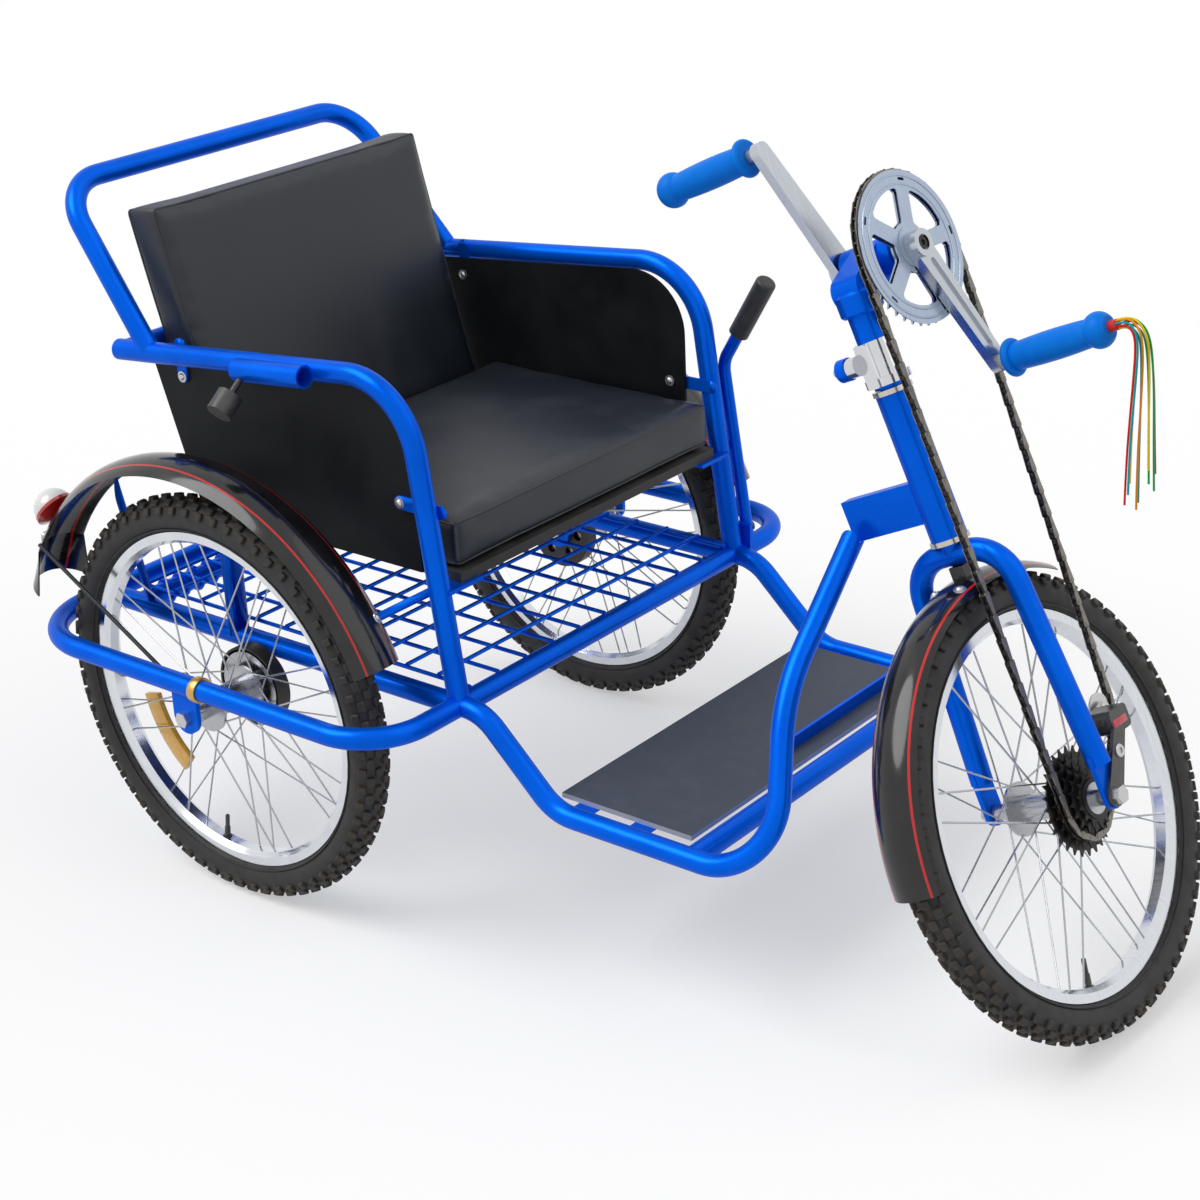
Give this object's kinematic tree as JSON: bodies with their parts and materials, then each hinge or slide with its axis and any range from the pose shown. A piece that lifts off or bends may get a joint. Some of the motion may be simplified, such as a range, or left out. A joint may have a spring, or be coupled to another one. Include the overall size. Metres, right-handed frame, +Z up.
{
  "type": "hand-cranked rehabilitation tricycle",
  "caption": "Three-wheeled rehabilitation tricycle with a cushioned seat, tubular frame, foot board and hand cranks that drive the steered front wheel by a chain.",
  "frame": {"origin": "on the floor under the middle of the machine's box", "axes": "+X forward, +Y to the rider's left, +Z up"},
  "size_m": [1.3444, 0.8274, 0.9095],
  "materials": {
    "frame_blue": "gloss metallic blue paint",
    "panel_black": "matte black board",
    "cushion_black": "black leatherette, fine grain",
    "seat_board": "black stained board",
    "mat_rubber": "dark grey ribbed rubber mat",
    "tyre_black": "black rubber, dusty knobs",
    "rim_alloy": "polished alloy",
    "spoke_steel": "zinc plated steel",
    "axle_steel": "plated steel",
    "brake_black": "black stamped steel",
    "fender_black": "gloss black with a red pinstripe",
    "lamp_white": "white translucent dome",
    "lamp_red": "red gloss rim",
    "knob_black": "black moulded plastic",
    "lever_rubber": "black ribbed rubber",
    "grip_blue": "light blue moulded rubber",
    "crank_alloy": "satin alloy",
    "ring_steel": "plated steel",
    "chain_steel": "dark oiled steel",
    "sprocket_black": "black oxide steel",
    "headset_chrome": "plated steel",
    "gear_black": "black moulded body",
    "shifter_chrome": "plated clamp band",
    "plug_red": "red moulded plug",
    "streamer_mix": "shiny coloured foil streamers"
  },
  "bodies": {
    "frame": {"guard_tube": "frame_blue", "deck_rails": "frame_blue", "deck_cross_tubes": "frame_blue", "armrest_right": "frame_blue", "armrest_left": "frame_blue", "push_handle": "frame_blue", "back_cross_tube": "frame_blue", "footrest_tube_right": "frame_blue", "footrest_tube_left": "frame_blue", "foot_board": "mat_rubber", "foot_board_supports": "frame_blue", "foot_stop": "frame_blue", "head_tube": "frame_blue", "headset_cups": "headset_chrome", "dropout_plates": "frame_blue", "rear_axles": "axle_steel", "band_brakes": "brake_black", "seat_supports": "frame_blue", "seat_base": "seat_board", "seat_cushion": "cushion_black", "back_cushion": "cushion_black", "side_panel_right": "panel_black", "side_panel_left": "panel_black", "luggage_grid": "frame_blue", "rear_fender_right": "fender_black", "rear_fender_left": "fender_black", "fender_carriers": "frame_blue", "lamp_rims": "lamp_red", "lamp_domes": "lamp_white", "accessory_sleeve": "frame_blue", "clamp_knob": "knob_black", "brake_lever": "frame_blue", "brake_lever_grip": "lever_rubber"},
    "steering": {"fork": "frame_blue", "derailleur": "gear_black", "derailleur_cage": "axle_steel", "front_axle": "axle_steel", "front_fender": "fender_black", "stem": "frame_blue", "shifter": "shifter_chrome", "chain": "chain_steel"},
    "crank": {"crank_spindle": "axle_steel", "chain_ring": "ring_steel", "crank_arm_right": "crank_alloy", "crank_arm_left": "crank_alloy", "grip_pins": "axle_steel"},
    "grip_right_body": {"grip_right": "grip_blue", "tassel_plug": "plug_red", "tassel_streamers": "streamer_mix"},
    "grip_left_body": {"grip_left": "grip_blue"},
    "front_wheel": {"front_tyre": "tyre_black", "front_rim": "rim_alloy", "front_spokes": "spoke_steel", "freewheel": "sprocket_black"},
    "rear_wheel_right": {"rear_tyre_right": "tyre_black", "rear_rim_right": "rim_alloy", "rear_spokes_right": "spoke_steel"},
    "rear_wheel_left": {"rear_tyre_left": "tyre_black", "rear_rim_left": "rim_alloy", "rear_spokes_left": "spoke_steel"}
  },
  "joints": [
    {"name": "steering", "type": "hinge", "parent": "frame", "child": "steering", "pos_m": [0.55017, 0, 0.23257], "axis": [-0.4226, 0, 0.9063], "range_deg": [-120, 0]},
    {"name": "crank_spin", "type": "hinge", "parent": "steering", "child": "crank", "pos_m": [0.29565, 0.04997, 0.78253], "axis": [-0.9058, 0.0349, -0.4224], "continuous": true},
    {"name": "grip_right_spin", "type": "hinge", "parent": "crank", "child": "grip_right_body", "pos_m": [0.45082, 0.10638, 0.6912], "axis": [-0.9058, 0.0349, -0.4224], "continuous": true},
    {"name": "grip_left_spin", "type": "hinge", "parent": "crank", "child": "grip_left_body", "pos_m": [0.14048, -0.00644, 0.87386], "axis": [-0.9058, 0.0349, -0.4224], "continuous": true},
    {"name": "front_wheel_spin", "type": "hinge", "parent": "steering", "child": "front_wheel", "pos_m": [0.55017, 0, 0.23257], "axis": [-0.9058, 0.0349, -0.4224], "continuous": true},
    {"name": "rear_wheel_right_spin", "type": "hinge", "parent": "frame", "child": "rear_wheel_right", "pos_m": [-0.35952, -0.339, 0.254], "axis": [0, 1, 0], "continuous": true},
    {"name": "rear_wheel_left_spin", "type": "hinge", "parent": "frame", "child": "rear_wheel_left", "pos_m": [-0.35952, 0.339, 0.254], "axis": [0, 1, 0], "continuous": true}
  ]
}
